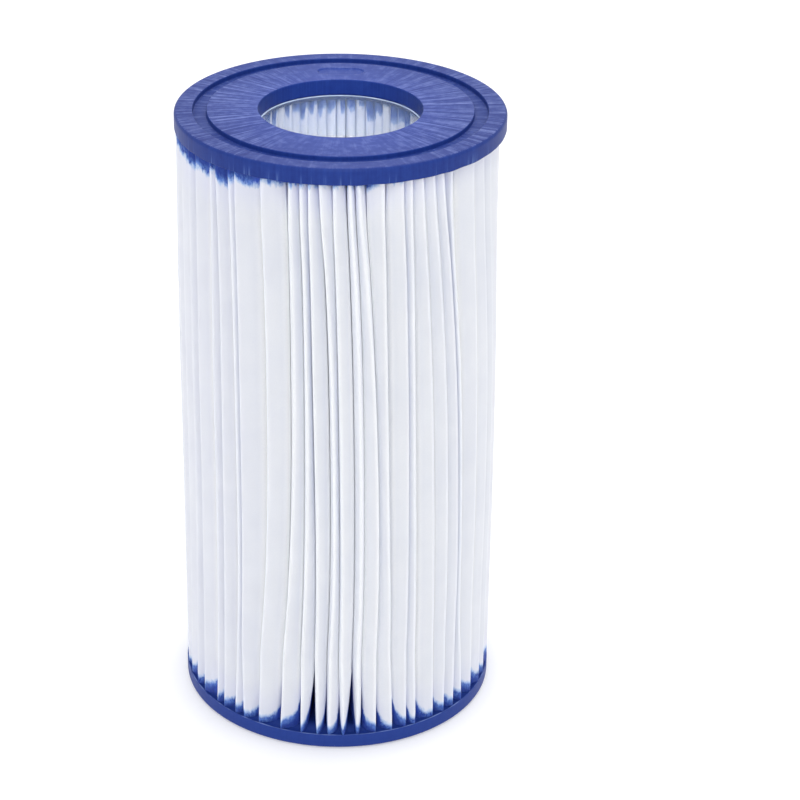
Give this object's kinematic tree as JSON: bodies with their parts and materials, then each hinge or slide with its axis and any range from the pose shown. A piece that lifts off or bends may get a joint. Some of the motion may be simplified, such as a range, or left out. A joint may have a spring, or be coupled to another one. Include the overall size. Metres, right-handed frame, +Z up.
{
  "type": "filter cartridge",
  "caption": "Round pleated fabric water filter cartridge with a cast soft-plastic cap on each end and an open bore through a perforated inner core.",
  "frame": {"origin": "centre of the bottom cap's outer face, on the cartridge's axis, on the surface it stands on", "axes": "+Z up along the axis from the bottom cap to the top cap; the sheet's glued seam lies towards +Y"},
  "size_m": [0.103, 0.103, 0.203],
  "materials": {
    "end_cap": "satin cast flexible polyurethane, blue, with fine radial flow streaks on the flat faces",
    "filter_fabric": "smooth white spunbonded polyester nonwoven",
    "adhesive": "translucent off-white hot-melt",
    "core_plastic": "milky translucent moulded polypropylene"
  },
  "bodies": {
    "root": {"top_end_cap": "end_cap", "bottom_end_cap": "end_cap", "pleated_media": "filter_fabric", "seam_adhesive": "adhesive", "support_core": "core_plastic"}
  },
  "joints": []
}
